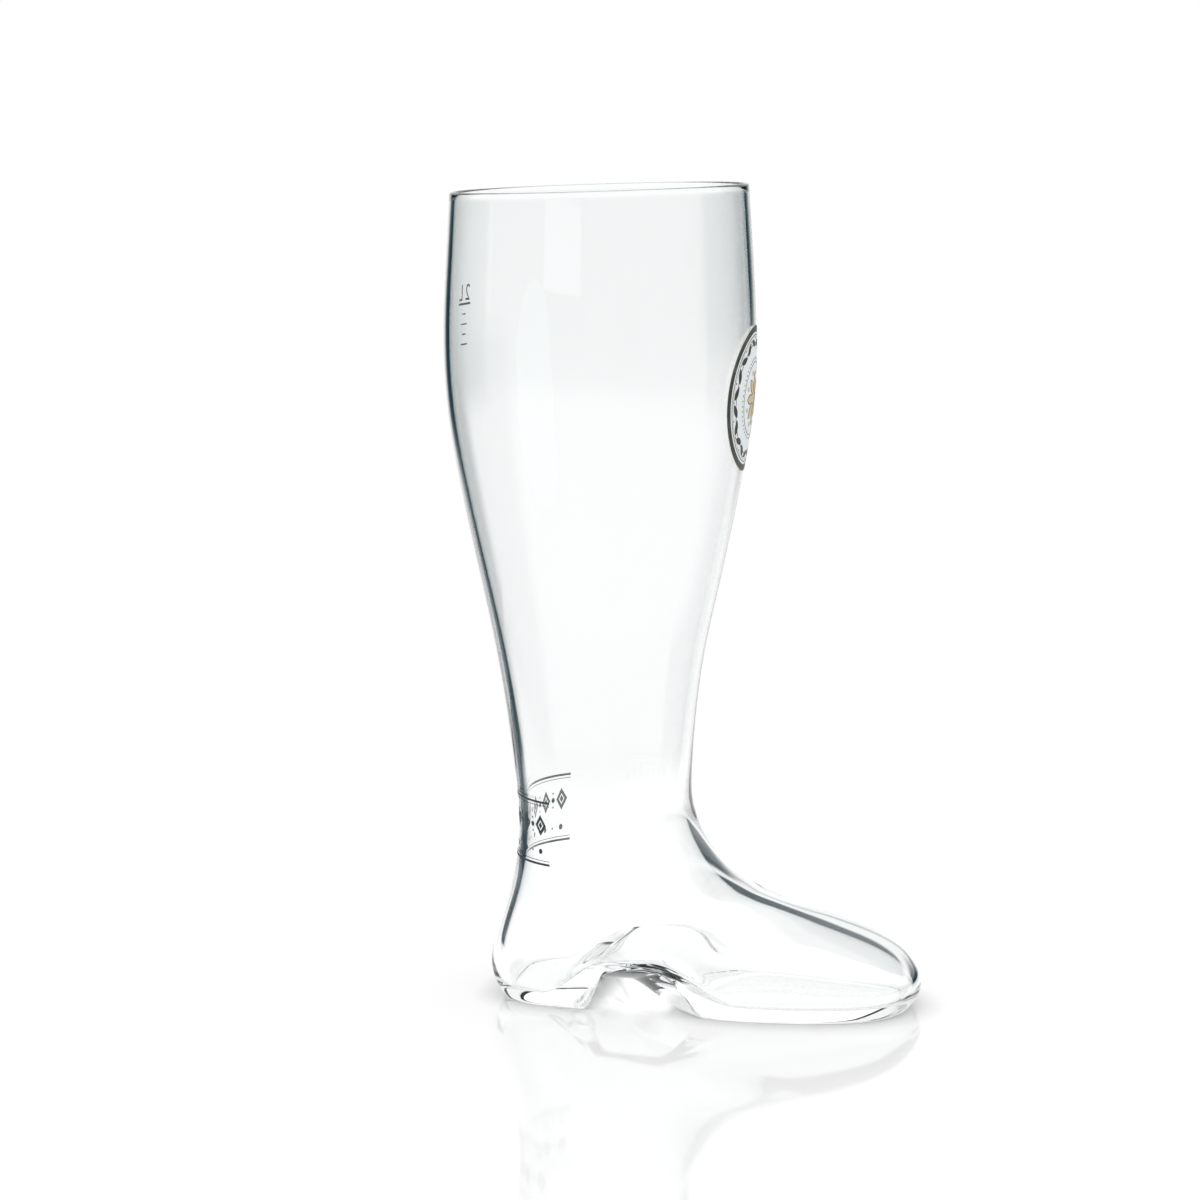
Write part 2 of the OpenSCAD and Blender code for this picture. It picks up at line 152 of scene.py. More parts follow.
def length(name, size, description):
    """A length in metres, written here in millimetres."""
    return FloatProperty(name=name, description=description, default=size * MM, min=0,
                         unit="LENGTH", precision=4)


def count(name, number, description):
    return IntProperty(name=name, description=description, default=number, min=2)


def angle(name, degrees, description):
    return FloatProperty(name=name, description=description, default=math.radians(degrees),
                         subtype="ANGLE")


def colour(name, value, description):
    return FloatVectorProperty(name=name, description=description, default=value, size=3,
                               min=0, max=1, subtype="COLOR")


class BootSizes(bpy.types.PropertyGroup):
    """Sizes of the glass, the same as in the solids' source"""
    rim_h: length("Rim Height", 333, "Height of the rim at the back of the leg")
    rim_rise: length("Rim Rise", 3.8, "How much higher the rim stands at the front")
    rim_d: length("Rim Diameter", 122, "Outer diameter at the rim")
    rim_lean: length("Rim Lean", 0.3, "How far the rim's middle stands back of the leg's axis")
    calf_d: length("Calf Diameter", 128.3, "Outer diameter where the leg is widest")
    calf_h: length("Calf Height", 276.8, "Height of the widest place")
    ankle_d: length("Ankle Diameter", 72.4, "Outer diameter where the leg is narrowest")
    ankle_h: length("Ankle Height", 78.4, "Height of the ankle's section")
    ankle_lean: length("Ankle Lean", 2.6, "How far the ankle stands forward of the leg's axis")
    ankle_tilt: length("Ankle Tilt", 6.6, "How much higher the ankle is at the front")
    foot_reach: length("Foot Reach", 135.8, "From the leg's axis to the tip of the toe")
    heel_reach: length("Heel Reach", 44.4, "From the leg's axis to the back of the heel")
    heel_h: length("Heel Height", 14.8, "Height of the heel's roundest place")
    instep_h: length("Instep Height", 47.4, "Height of the instep over the heel's front")
    toe_h: length("Toe Height", 9.6, "Height of the tip of the toe")
    heel_w: length("Heel Width", 67.8, "Width of the heel")
    ball_w: length("Ball Width", 78, "Width of the ball of the foot")
    tread: length("Tread", 7.6, "How deep the soft underside is pressed flat")
    arch_h: length("Arch Height", 8, "Height of the arch over its middle")
    arch_rise: length("Arch Rise", 9, "How much higher the arch is at its sides")
    heel_front: length("Heel Front", 7.2, "From the leg's axis back to the heel's front edge")
    heel_sweep: length("Heel Sweep", 8, "How far the heel's edge sweeps forward at the sides")
    breast_l: length("Heel Breast", 9, "Length of the heel's front face")
    sole_back: length("Sole Back", 31.8, "From the leg's axis to the back edge of the sole")
    arch_ramp: length("Arch Ramp", 20, "Length over which the arch comes down to the sole")
    sole_sweep: length("Sole Sweep", 18, "How far the sole's edge sweeps forward at the sides")
    arch_round: length("Arch Rounding", 6, "How much softer than the tread the arch is rounded")
    rim_wall: length("Rim Wall", 2.1, "Wall at the rim")
    leg_wall: length("Calf Wall", 2.3, "Wall of the calf")
    ankle_wall: length("Ankle Wall", 3.8, "Wall of the ankle")
    instep_wall: length("Instep Wall", 6.2, "Wall over the instep")
    sole_wall: length("Sole Wall", 5.2, "Wall of the sole and the heel's underside")
    side_wall: length("Side Wall", 4.4, "Wall of the foot's sides")
    toe_wall: length("Toe Wall", 3.4, "Wall at the tip of the toe")
    foot_round: length("Foot Rounding", 1.2, "Depth over which the tread's edge is rounded")
    floor_round: length("Floor Rounding", 5, "Rounding between the inner floor and its sides")
    floor_ease: length("Floor Ease", 16, "How much softer the arch is inside the foot")
    outer_rings: count("Outer Rings", 330, "Rings of the outer surface")
    inner_rings: count("Inner Rings", 250, "Rings of the inner surface")
    lip_rings: count("Lip Rings", 8, "Rings of the rounded lip")
    round_points: count("Points Round", 144, "Points round each ring")


class PrintSizes(bpy.types.PropertyGroup):
    """Sizes of the prints fired on the outside"""
    badge_h: length("Badge Height", 251, "Height of the badge's middle")
    badge_turn: angle("Badge Turn", 2, "Angle from the toe's direction")
    badge_d: length("Badge Diameter", 54, "Diameter of the pale ground")
    ring_w: length("Ring Width", 2.6, "Width of the dark ring round the ground")
    leaf_count: count("Leaves", 20, "Number of leaves in the wreath")
    leaf_l: length("Leaf Length", 6.6, "Length of a leaf")
    leaf_w: length("Leaf Width", 2.6, "Width of a leaf")
    petal_count: count("Petals", 8, "Number of petals of the gold flower")
    petal_l: length("Petal Length", 8.6, "Length of a petal")
    petal_w: length("Petal Width", 3.4, "Width of a petal")
    fill_h: length("Fill Height", 287, "Height of the fill line")
    fill_turn: angle("Fill Turn", 170, "Angle from the toe's direction")
    fill_l: length("Fill Line", 13, "Length of the fill line")
    numeral_h: length("Numeral Height", 7, "Height of the numeral")
    stroke_w: length("Stroke Width", 0.9, "Thickness of the printed strokes")
    band_h: length("Band Height", 60, "Height of the band's lower line")
    band_w: length("Band Width", 26, "From the lower line to the upper one")
    band_turn: angle("Band Turn", 186, "Angle from the toe's direction")
    band_l: length("Band Length", 76, "Length of the band round the ankle")
    lozenge_count: count("Lozenges", 7, "Number of lozenges along the band")
    lozenge_w: length("Lozenge Width", 6.6, "Width of a lozenge")
    lift: length("Lift", 0.03, "Room between the glass and a print")
    ink: length("Ink", 0.05, "Thickness of a layer of print")


class BootColours(bpy.types.PropertyGroup):
    """Colours of the glass, the prints and the stage"""
    glass: colour("Glass", (0.985, 0.996, 0.993), "Tint of the glass")
    pale: colour("Pale Enamel", (0.80, 0.84, 0.85), "Ground of the badge")
    green: colour("Green Enamel", (0.020, 0.036, 0.030), "Ring and wreath of the badge")
    gold: colour("Gold Enamel", (0.62, 0.49, 0.26), "Flower of the badge")
    slate: colour("Slate Enamel", (0.030, 0.045, 0.055), "Fill mark and ankle band")
    floor: colour("Floor", (0.62, 0.62, 0.62), "Floor of the studio")


def sizes():
    return bpy.context.scene.boot_sizes


def prints():
    return bpy.context.scene.boot_prints


def colours():
    return bpy.context.scene.boot_colours


# Rows of the boot


def mix(a, b, t):
    return a + (b - a) * t


def leg_row(r, z, rise, lean, front_wall, back_wall):
    """A level ring of the leg: front and back point, half width, three walls and two zeros for
    squareness and lowness."""
    return [r + lean, z + rise / 2, lean - r, z - rise / 2, r, front_wall, back_wall,
            (front_wall + back_wall) / 2, 0, 0]


def foot_row(s, share, width):
    """A chord of the foot from its row of shares."""
    along = s.heel_reach if share[2] < 0 else s.foot_reach
    up = s.tread if share[3] < 0 else s.heel_h
    return [share[0] * s.foot_reach, share[1] * s.instep_h, share[2] * along, share[3] * up,
            share[4] * width / 2, share[5] * s.instep_wall, share[6] * s.sole_wall,
            (share[5] + share[6]) / 2 * s.side_wall, share[7], share[8]]


def stations():
    """The boot's rows from the rim to the tip of the toe, in metres."""
    s = sizes()
    rim_r, calf_r, ankle_r = s.rim_d / 2, s.calf_d / 2, s.ankle_d / 2
    rows = [leg_row(rim_r, s.rim_h + s.rim_rise / 2, s.rim_rise, -s.rim_lean,
                    s.rim_wall, s.rim_wall)]
    for up, swell in UPPER_SHARES:
        rows.append(leg_row(mix(rim_r, calf_r, swell), mix(s.calf_h, s.rim_h, up),
                            s.rim_rise * up / 2, -s.rim_lean * up / 2, s.leg_wall, s.leg_wall))
    for up, swell, lean, tilt, front, back in LEG_SHARES:
        rows.append(leg_row(mix(ankle_r, calf_r, swell), mix(s.ankle_h, s.calf_h, up),
                            s.ankle_tilt * tilt, s.ankle_lean * lean,
                            mix(s.leg_wall, s.ankle_wall, front),
                            mix(s.leg_wall, s.ankle_wall, back)))
    rows += [foot_row(s, share, s.heel_w) for share in HEEL_SHARES]
    rows += [foot_row(s, share, s.ball_w) for share in BALL_SHARES]
    rows.append([s.foot_reach, s.toe_h, s.foot_reach, s.toe_h, 0,
                 s.toe_wall, s.toe_wall, s.toe_wall, 0, 0])
    return np.array(rows, float)


class BootSpline:
    """A cubic spline through the stations. Beyond the tip of the toe the two lines change
    places."""

    NUDGE = 0.01

    def __init__(self):
        rows = stations()
        self.last = len(rows) - 1
        swap = [2, 3, 0, 1, 4, 5, 6, 7, 8, 9]
        sign = np.array([1, 1, 1, 1, -1, 1, 1, 1, 1, -1])
        before = [2 * rows[0] - rows[2], 2 * rows[0] - rows[1]]
        after = [rows[-2][swap] * sign, rows[-3][swap] * sign]
        padded = np.vstack(before + [rows] + after)
        self.pulled = (8 * padded[1:-1] - padded[:-2] - padded[2:]) / 6

    def row(self, u):
        i = np.minimum(np.floor(u).astype(int), self.last - 1)
        t = (u - i)[:, None]
        p = self.pulled
        return ((1 - t) ** 3 * p[i] + (3 * t ** 3 - 6 * t ** 2 + 4) * p[i + 1]
                + (3 * (1 - t) ** 3 - 6 * (1 - t) ** 2 + 4) * p[i + 2] + t ** 3 * p[i + 3]) / 6

    @staticmethod
    def square_to(step):
        return np.stack([step[:, 1], -step[:, 0]], 1) / np.linalg.norm(step, axis=1)[:, None]

    def inner_row(self, u):
        """The rows drawn in by the walls, square to the surface."""
        r = self.row(u)
        ahead, behind = np.minimum(u + self.NUDGE, self.last), np.maximum(u - self.NUDGE, 0)
        d = self.row(ahead) - self.row(behind)
        front, back = d[:, 0:2], d[:, 2:4]
        out = r.copy()
        out[:, 0:2] += self.square_to(front) * r[:, 5:6]
        out[:, 2:4] -= self.square_to(back) * r[:, 6:7]
        step = np.linalg.norm(front + back, axis=1) / 2
        out[:, 4] -= r[:, 7] * step / np.hypot(step, d[:, 4])
        return out


def glass_rows():
    """Rows of the whole glass, outside from the toe to the rim, over the lip, and inside back to
    the toe, and the middle of its length.

    Each row is front x and z, back x and z, half width, squareness, lowness, and the wall,
    softness and rounding of the form that it is pressed on.
    """
    s = sizes()
    spline = BootSpline()
    keep = [0, 1, 2, 3, 4, 8, 9]
    outside = spline.row(np.linspace(spline.last, 0, s.outer_rings))[:, keep]
    inside = spline.inner_row(np.linspace(0, spline.last, s.inner_rings))[:, keep]
    for tip in (outside[0], inside[-1]):
        tip[0:2] = tip[2:4] = (tip[0:2] + tip[2:4]) / 2
        tip[4] = 0
    outer_form = [0, 0, s.foot_round]
    inner_form = [s.sole_wall, s.floor_ease, s.floor_round]
    outside = np.hstack([outside, np.tile(outer_form, (len(outside), 1))])
    inside = np.hstack([inside, np.tile(inner_form, (len(inside), 1))])
    lip = []
    for k in range(1, s.lip_rings):
        a = math.pi * k / s.lip_rings
        row = mix(outside[-1], inside[0], (1 - math.cos(a)) / 2)
        row[[1, 3]] += math.sin(a) * s.rim_wall / 2
        lip.append(row)
    rows = np.vstack([outside, lip, inside])
    along = rows[:, [0, 2]]
    return rows, (along.max() + along.min()) / 2


# Node trees


class Wire:
    """An output socket that can be counted with: each sign adds a Math node to its tree."""

    def __init__(self, tree, socket):
        self.tree = tree
        self.socket = socket

    def math(self, operation, *others):
        return self.tree.math(operation, self, *others)

    def __add__(self, other):
        return self.math("ADD", other)

    __radd__ = __add__

    def __sub__(self, other):
        return self.math("SUBTRACT", other)

    def __rsub__(self, other):
        return self.tree.math("SUBTRACT", other, self)

    def __mul__(self, other):
        return self.math("MULTIPLY", other)

    __rmul__ = __mul__

    def __truediv__(self, other):
        return self.math("DIVIDE", other)

    def __neg__(self):
        return 0 - self


class Tree:
    """Builds one node tree. Values given for a socket are wires, sockets or plain numbers."""

    def __init__(self, data):
        self.data = data
        self.nodes = data.nodes
        self.links = data.links

    @classmethod
    def group(cls, name, tree_type, inputs, outputs):
        """A node group. Inputs are name, kind and default, outputs are name and kind."""
        data = bpy.data.node_groups.new(name, tree_type)
        add = data.interface.new_socket
        for label, kind, default in inputs:
            item = add(label, in_out="INPUT", socket_type="NodeSocket" + kind)
            if default is not None:
                item.default_value = default
        for label, kind in outputs:
            add(label, in_out="OUTPUT", socket_type="NodeSocket" + kind)
        tree = cls(data)
        tree.source = tree.nodes.new("NodeGroupInput")
        tree.sink = tree.nodes.new("NodeGroupOutput")
        return tree

    @classmethod
    def modifier(cls, name, inputs):
        """A Geometry Nodes tree that is given a material too."""
        inputs = [("Geometry", "Geometry", None), *inputs, ("Material", "Material", None)]
        return cls.group(name, "GeometryNodeTree", inputs, [("Geometry", "Geometry")])

    def given(self, name):
        return Wire(self, self.source.outputs[name])

    def put(self, socket, value):
        if isinstance(value, Wire):
            value = value.socket
        if isinstance(value, bpy.types.NodeSocket):
            self.links.new(value, socket)
        elif value is not None:
            socket.default_value = value

    def node(self, kind, *values, out=0, named=None, **settings):
        """Adds a node, sets its settings, fills its enabled inputs in order and by name, and
        gives an output."""
        node = self.nodes.new(kind)
        for name, value in settings.items():
            setattr(node, name, value)
        sockets = [socket for socket in node.inputs if socket.enabled]
        for socket, value in zip(sockets, values):
            self.put(socket, value)
        for name, value in (named or {}).items():
            self.put(next(socket for socket in sockets if socket.name == name), value)
        outputs = [socket for socket in node.outputs if socket.enabled]
        pick = outputs[out] if isinstance(out, int) else next(o for o in outputs if o.name == out)
        return Wire(self, pick)

    def math(self, operation, *values):
        return self.node("ShaderNodeMath", *values, operation=operation)

    def ease(self, value):
        """A smooth step from 0 to 1."""
        t = self.node("ShaderNodeClamp", value)
        return t * t * (3 - 2 * t)

    def rise(self, value, start, long):
        """A smooth step from 0 at the start to 1 a given length on."""
        return self.ease((value - start) / long)

    def window(self, value, low, high, soft):
        """1 between two limits, and 0 beyond them."""
        return self.ease((value - (low - soft)) / soft) * self.ease(((high + soft) - value) / soft)

    def join_xyz(self, x, y, z=0.0):
        return self.node("ShaderNodeCombineXYZ", x, y, z)

    def split_xyz(self, vector):
        node = self.node("ShaderNodeSeparateXYZ", vector).socket.node
        return [Wire(self, socket) for socket in node.outputs]

    def scaled(self, vector, scale):
        return self.node("ShaderNodeVectorMath", vector, operation="SCALE", named={"Scale": scale})

    def bump(self, strength, distance, height):
        return self.node("ShaderNodeBump", named={
            "Strength": strength, "Distance": distance, "Height": height})

    def noise(self, place, scale, detail, roughness=None):
        return self.node("ShaderNodeTexNoise", named={
            "Vector": place, "Scale": scale, "Detail": detail, "Roughness": roughness})

    def grid(self, rows, across):
        """A net for a shape, and the row and column of its points, from their index."""
        net = self.node("GeometryNodeMeshGrid", 1, 1, rows, across)
        index = self.node("GeometryNodeInputIndex")
        row = ((index + 0.5) / across).math("FLOOR")
        return net, row, index - row * across

    def join(self, *parts):
        node = self.nodes.new("GeometryNodeJoinGeometry")
        for part in parts:
            self.links.new(part.socket, node.inputs[0])
        return Wire(self, node.outputs[0])

    def placed(self, geometry, place):
        return self.node("GeometryNodeSetPosition", geometry, named={"Position": place})

    def raised(self, geometry, y):
        return self.node("GeometryNodeTransform", geometry,
                         named={"Translation": self.join_xyz(0.0, y)})

    def welded(self, geometry, distance):
        return self.node("GeometryNodeMergeByDistance", geometry, named={"Distance": distance})

    def dressed(self, geometry):
        """The geometry as one real mesh in the tree's material."""
        whole = self.node("GeometryNodeRealizeInstances", geometry)
        return self.node("GeometryNodeSetMaterial", whole,
                         named={"Material": self.given("Material")})

    def finish(self, **outputs):
        for name, wire in outputs.items():
            self.put(self.sink.inputs[name], wire)
        return self.data


def loft_tree():
    """A closed skin through rows of a chord from the front line to the back line, pressed on the
    arch's form."""
    s = sizes()
    form_sizes = ["arch_h", "arch_rise", "heel_front", "heel_sweep", "breast_l", "sole_back",
                  "arch_ramp", "sole_sweep", "arch_round", "heel_w"]
    inputs = [("Rows", "Int", 2), ("Points Round", "Int", s.round_points),
              ("Middle", "Float", 0.0)]
    inputs += [(name, "Float", getattr(s, name)) for name in form_sizes]
    tree = Tree.modifier("Boot Loft", inputs)
    g = {name: tree.given(name) for name in form_sizes}
    around = tree.given("Points Round")
    grid, row, column = tree.grid(tree.given("Rows"), around + 1)
    turn = column * (2 * math.pi) / around

    def sampled(name, kind="FLOAT_VECTOR"):
        field = tree.node("GeometryNodeInputNamedAttribute", name, data_type=kind)
        return tree.node("GeometryNodeSampleIndex", tree.given("Geometry"), field, row,
                         data_type=kind, domain="POINT")

    front_x, front_z, half = tree.split_xyz(sampled("front"))
    back_x, back_z, square = tree.split_xyz(sampled("back"))
    wall, soft, rounding = tree.split_xyz(sampled("form"))
    low = sampled("low", "FLOAT")
    sin, cos = turn.math("SINE"), turn.math("COSINE")
    squared = square * (1 - sin) / 2
    width = (cos - squared * (3 * turn).math("COSINE")) / (1 - squared)
    high = (sin + squared * (3 * turn).math("SINE")) / (1 - squared) - low * cos * cos
    share = (1 + high) / 2
    x = back_x + (front_x - back_x) * share
    y = half * width
    z = back_z + (front_z - back_z) * share

    side = (2 * y / g["heel_w"]).math("POWER", 2)
    heel_x = x + g["heel_front"] + soft - g["heel_sweep"] * side
    sole_x = g["sole_back"] + soft + g["sole_sweep"] * side - x
    heel_side = tree.ease(heel_x / (g["breast_l"] + soft))
    sole_side = tree.ease(sole_x / (g["arch_ramp"] + soft))
    ridge = (g["arch_h"] + g["arch_rise"] * side) * heel_side * sole_side
    rounding = rounding + g["arch_round"] * (ridge / g["arch_h"]).math("MINIMUM", 1.0)
    form = wall + ridge
    depth = z - form
    near = depth.math("MAXIMUM", -rounding).math("MINIMUM", rounding) + rounding
    pressed = near * near / (4 * rounding) + (depth - rounding).math("MAXIMUM", 0.0)

    moved = tree.placed(grid, tree.join_xyz(x - tree.given("Middle"), y, form + pressed))
    dressed = tree.dressed(tree.welded(moved, SKIN_WELD))
    return tree.finish(Geometry=tree.node("GeometryNodeSetShadeSmooth", dressed))


def run_tree(name, data, tree, values):
    """Makes a plain mesh object from a mesh run through a node tree whose inputs get the named
    values."""
    source = bpy.data.objects.new(name + "_source", data)
    bpy.context.scene.collection.objects.link(source)
    modifier = source.modifiers.new("Build", "NODES")
    modifier.node_group = tree
    for item in tree.interface.items_tree:
        if item.item_type == "SOCKET" and item.in_out == "INPUT" and item.name in values:
            modifier[item.identifier] = values[item.name]
    source.update_tag()
    graph = bpy.context.evaluated_depsgraph_get()
    mesh = bpy.data.meshes.new_from_object(source.evaluated_get(graph), depsgraph=graph)
    mesh.name = name
    piece = bpy.data.objects.new(name, mesh)
    bpy.context.scene.collection.objects.link(piece)
    source.modifiers.remove(modifier)
    bpy.data.objects.remove(source)
    return piece


def point_mesh(name, points, attributes=()):
    mesh = bpy.data.meshes.new(name)
    mesh.from_pydata(points, [], [])
    for label, kind, values in attributes:
        layer = mesh.attributes.new(label, kind, "POINT")
        field = "vector" if kind == "FLOAT_VECTOR" else "value"
        layer.data.foreach_set(field, np.ravel(values))
    return mesh


def face_outwards(mesh):
    """Turns a closed mesh's faces outwards, judged by its signed volume."""
    mesh.calc_loop_triangles()
    co = np.array([v.co for v in mesh.vertices])
    tri = co[np.array([t.vertices for t in mesh.loop_triangles])]
    if np.einsum("ij,ij->i", tri[:, 0], np.cross(tri[:, 1], tri[:, 2])).sum() < 0:
        mesh.flip_normals()


# Materials


def new_material(name):
    material = bpy.data.materials.new(name)
    material.use_nodes = True
    material.node_tree.nodes.clear()
    return material, Tree(material.node_tree)


def shader(tree, base, **values):
    """A Principled shader on the surface output. Names use underscores for the sockets'
    spaces."""
    node = tree.nodes.new("ShaderNodeBsdfPrincipled")
    tree.put(node.inputs["Base Color"], base)
    for name, value in values.items():
        tree.put(node.inputs[name.replace("_", " ")], value)
    output = tree.nodes.new("ShaderNodeOutputMaterial")
    tree.links.new(node.outputs["BSDF"], output.inputs["Surface"])
    return node


def handling_group():
    """Soft patches and fine streaks, as on glass that has been handled and wiped."""
    name = "Handling Marks"
    if name in bpy.data.node_groups:
        return bpy.data.node_groups[name]
    inputs = [("Patch Size", "Float", 12.0), ("Streaks", "Float", 0.5)]
    tree = Tree.group(name, "ShaderNodeTree", inputs, [("Marks", "Float")])
    place = tree.node("ShaderNodeTexCoord", out="Object")
    patches = tree.noise(place, tree.given("Patch Size"), 3.0, 0.6)
    stretched = tree.node("ShaderNodeMapping", place, named={"Scale": (1.0, 1.0, 0.08)})
    streaks = tree.ease((tree.noise(stretched, 160.0, 2.0) - 0.4) * 4)
    marks = tree.ease((patches - 0.45) * 4) * (1 - tree.given("Streaks") * (1 - streaks))
    return tree.finish(Marks=marks)


def handling_marks(tree, patch_size):
    return tree.node("ShaderNodeGroup", node_tree=handling_group(),
                     named={"Patch Size": patch_size})


def glass_material():
    """Clear glass with a slight waviness and marks of handling."""
    material, tree = new_material("Clear_Glass")
    place = tree.node("ShaderNodeTexCoord", out="Object")
    drawn = tree.node("ShaderNodeMapping", place, named={"Scale": (1.0, 1.0, 0.25)})
    waves = tree.noise(drawn, 26.0, 1.0)
    bump = tree.bump(0.02, 0.004, waves)
    rough = 0.003 + handling_marks(tree, 14.0) * 0.007
    shader(tree, (*colours().glass, 1), Roughness=rough, IOR=1.5, Transmission_Weight=1.0,
           Normal=bump)
    return material


def enamel_group():
    """Fired enamel: a slightly uneven colour, a fine grain and rubbed places."""
    name = "Enamel Grain"
    if name in bpy.data.node_groups:
        return bpy.data.node_groups[name]
    inputs = [("Color", "Color", (0.5, 0.5, 0.5, 1)),
              ("Rubbed Color", "Color", (0.6, 0.6, 0.6, 1)),
              ("Grain Scale", "Float", 900.0), ("Rubbing", "Float", 0.3)]
    outputs = [("Color", "Color"), ("Roughness", "Float"),
               ("Height", "Float")]
    tree = Tree.group(name, "ShaderNodeTree", inputs, outputs)
    place = tree.node("ShaderNodeTexCoord", out="Object")
    grain = tree.noise(place, tree.given("Grain Scale"), 2.0)
    cloud = tree.noise(place, 110.0, 3.0, 0.65)
    marks = handling_marks(tree, 60.0)
    rubbed = tree.given("Rubbing") * tree.ease((cloud + 0.25 * marks - 0.52) * 4)
    tone = tree.scaled(tree.given("Color"), 0.86 + 0.16 * cloud + 0.10 * grain)
    mixed = tree.node("ShaderNodeMix", data_type="RGBA", named={
        "Factor": rubbed, "A": tone, "B": tree.given("Rubbed Color")})
    rough = 0.34 + 0.16 * cloud + 0.12 * marks
    return tree.finish(Color=mixed, Roughness=rough, Height=grain + 0.6 * cloud)


def enamel_material(name, tint, rubbed, painted_back_glow=None):
    """Fired enamel. The last argument, if given, is a painted glow on its back, an emission that
    stands in for daylight on it: its colour, how bright it is seen through the glass, and how
    bright in the mirror images inside the glass."""
    material, tree = new_material(name)
    grain, rubbing = ENAMELS[name]
    group = tree.node("ShaderNodeGroup", node_tree=enamel_group(), named={
        "Color": (*tint, 1), "Rubbed Color": (*rubbed, 1), "Grain Scale": grain,
        "Rubbing": rubbing}).socket.node
    bump = tree.bump(0.25, 0.00005, group.outputs["Height"])
    node = shader(tree, group.outputs["Color"], Roughness=group.outputs["Roughness"],
                  Specular_IOR_Level=0.2, IOR=1.5, Normal=bump)
    # Painted light: the print glows, seen only through the glass or in mirror images inside it
    if painted_back_glow:
        glow_colour, glow_through, back = painted_back_glow
        path = tree.node("ShaderNodeLightPath").socket.node
        behind, mirrored = [Wire(tree, path.outputs[label]).math("MINIMUM", 1.0)
                            for label in ("Transmission Depth", "Glossy Depth")]
        tree.put(node.inputs["Emission Color"], (*glow_colour, 1))
        tree.put(node.inputs["Emission Strength"],
                 behind * (glow_through + (back - glow_through) * mirrored))
    return material


# Prints: flat patterns, x to the right and y up, laid on the glass


def polar(tree, inner, outer, rings, spokes, wide=None):
    """A ring or, with a width given, a lozenge. Inner is a share of the outer size."""
    grid, row, column = tree.grid(rings + 1, spokes + 1)
    turn = column * (2 * math.pi / spokes)
    cos, sin = turn.math("COSINE"), turn.math("SINE")
    reach = row * ((1 - inner) / rings) + inner
    if wide is not None:
        reach = reach / (cos.math("ABSOLUTE") / wide + sin.math("ABSOLUTE") / outer)
    else:
        reach = reach * outer
    ring = tree.placed(grid, tree.join_xyz(reach * cos, reach * sin))
    return tree.welded(ring, PATTERN_WELD)


def disc(tree, radius, rings, spokes):
    return polar(tree, 0.0, radius, rings, spokes)


def leaf(tree, long, wide, steps=14):
    """A pointed leaf along x, a little fuller towards its tip."""
    grid, row, column = tree.grid(steps + 1, 5)
    share = row / steps
    belly = (share * math.pi).math("SINE").math("ABSOLUTE").math("POWER", 0.8)
    full = belly * (0.85 + 0.3 * share)
    blade = tree.placed(grid, tree.join_xyz((share - 0.5) * long,
                                            (column / 4 - 0.5) * wide * full))
    return tree.welded(blade, PATTERN_WELD)


def bar(tree, long, wide, steps):
    return tree.node("GeometryNodeMeshGrid", long, wide, steps, 2)


def strewn(tree, shape, number, x, y, turn=0.0):
    """Copies of a shape at places and turns that are counted from their index."""
    points = tree.placed(tree.node("GeometryNodeMeshLine", number), tree.join_xyz(x, y))
    return tree.node("GeometryNodeInstanceOnPoints", points,
                     named={"Instance": shape, "Rotation": tree.join_xyz(0.0, 0.0, turn)})


def ring_of(tree, shape, number, radius, first=0.0, lean=0.0, along=False):
    """Copies of a shape in a ring, pointing outwards, or along the ring and leaning to each side
    in turn."""
    index = tree.node("GeometryNodeInputIndex")
    angle = (index + first) * (2 * math.pi) / number
    turn = angle + (math.pi / 2 if along else 0.0)
    turn = turn + lean * (1 - 2 * index.math("MODULO", 2.0))
    x, y = angle.math("COSINE") * radius, angle.math("SINE") * radius
    return strewn(tree, shape, number, x, y, turn)


def in_row(tree, shape, number, pitch, y):
    index = tree.node("GeometryNodeInputIndex")
    return strewn(tree, shape, number, (index - (number - 1) / 2) * pitch, y)


def print_tree(name, size_names, pattern):
    """Node tree of one print: its flat pattern gets the thickness of the ink and is laid on the
    glass."""
    p = prints()
    inputs = [("Glass", "Object", None), ("Turn", "Float", 0.0), ("Height", "Float", 0.0),
              ("Radius", "Float", 0.05), ("Middle", "Float", 0.0), ("Lift", "Float", p.lift),
              ("Ink", "Float", p.ink)]
    for label in size_names:
        value = getattr(p, label)
        inputs.append((label, "Int" if isinstance(value, int) else "Float", value))
    tree = Tree.modifier(name, inputs)

    shapes = pattern(tree, *[tree.given(label) for label in size_names])
    flat = tree.node("GeometryNodeRealizeInstances", shapes)
    facing = tree.split_xyz(tree.node("GeometryNodeInputNormal"))[2]
    flat = tree.node("GeometryNodeFlipFaces", flat,
                     named={"Selection": facing.math("LESS_THAN", 0.0)})
    upper = tree.node("GeometryNodeExtrudeMesh", flat, mode="FACES", named={
        "Offset": (0, 0, 1), "Offset Scale": tree.given("Ink"), "Individual": False})
    lower = tree.node("GeometryNodeFlipFaces", flat)
    closed = tree.welded(tree.join(upper, lower), SKIN_WELD)

    x, y, z = tree.split_xyz(tree.node("GeometryNodeInputPosition"))
    angle = tree.given("Turn") + x / tree.given("Radius")
    cos, sin = angle.math("COSINE"), angle.math("SINE")
    far = tree.given("Radius") * LAY_START
    start = tree.join_xyz(far * cos - tree.given("Middle"), far * sin, y + tree.given("Height"))
    target = tree.node("GeometryNodeObjectInfo", tree.given("Glass"), out="Geometry")
    cast = tree.node("GeometryNodeRaycast", out="Hit Position", named={
        "Target Geometry": target, "Source Position": start,
        "Ray Direction": tree.join_xyz(-cos, -sin), "Ray Length": LAY_REACH})
    normal = Wire(tree, cast.socket.node.outputs["Hit Normal"])
    off = tree.scaled(normal, z + tree.given("Lift"))
    laid = tree.placed(closed, tree.node("ShaderNodeVectorMath", cast, off, operation="ADD"))
    return tree.finish(Geometry=tree.dressed(laid))


def ground_pattern(tree, badge_d):
    return disc(tree, badge_d / 2, 22, 96)


